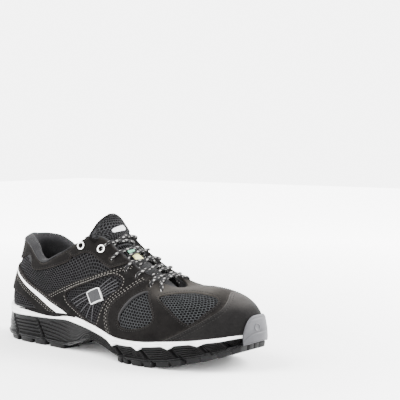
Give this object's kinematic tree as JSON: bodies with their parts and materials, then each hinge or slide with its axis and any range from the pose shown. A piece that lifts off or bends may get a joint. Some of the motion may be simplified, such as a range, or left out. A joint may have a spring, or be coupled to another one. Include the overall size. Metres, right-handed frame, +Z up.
{
  "type": "safety sneaker",
  "caption": "Low black safety sneaker for the right foot: mesh upper with nubuck panels, white midsole band, rubber toe bumper and lugged outsole.",
  "frame": {"origin": "middle of the shoe's box, on the floor that the sole stands on", "axes": "+X from heel to toe, +Y to the inner (medial) side of the foot, +Z up"},
  "size_m": [0.3046, 0.107, 0.1277],
  "materials": {
    "outsole": "matt dark grey rubber",
    "midsole_carrier": "moulded black foam with fine ribs",
    "midsole_stripe": "smooth white foam",
    "insole": "charcoal knit over foam",
    "mesh": "open black mesh",
    "nubuck": "black nubuck with a short nap",
    "eyestay": "brownish black nubuck",
    "lining": "charcoal padded knit",
    "laces": "braided, black flecked with white",
    "eyelets": "satin white rings"
  },
  "bodies": {
    "root": {"outsole": "outsole", "midsole_carrier": "midsole_carrier", "midsole_stripe": "midsole_stripe", "insole": "insole", "upper": "mesh", "toe_cap": "nubuck", "vamp_overlay": "nubuck", "quarter_overlay_lateral": "nubuck", "quarter_overlay_medial": "nubuck", "heel_counter": "nubuck", "eyestay_lateral": "eyestay", "eyestay_medial": "eyestay", "collar_band": "eyestay", "collar_padding": "lining", "tongue": "mesh", "laces": "laces", "eyelet_lateral_1": "eyelets", "eyelet_lateral_2": "eyelets", "eyelet_medial_1": "eyelets", "eyelet_medial_2": "eyelets"}
  },
  "joints": []
}
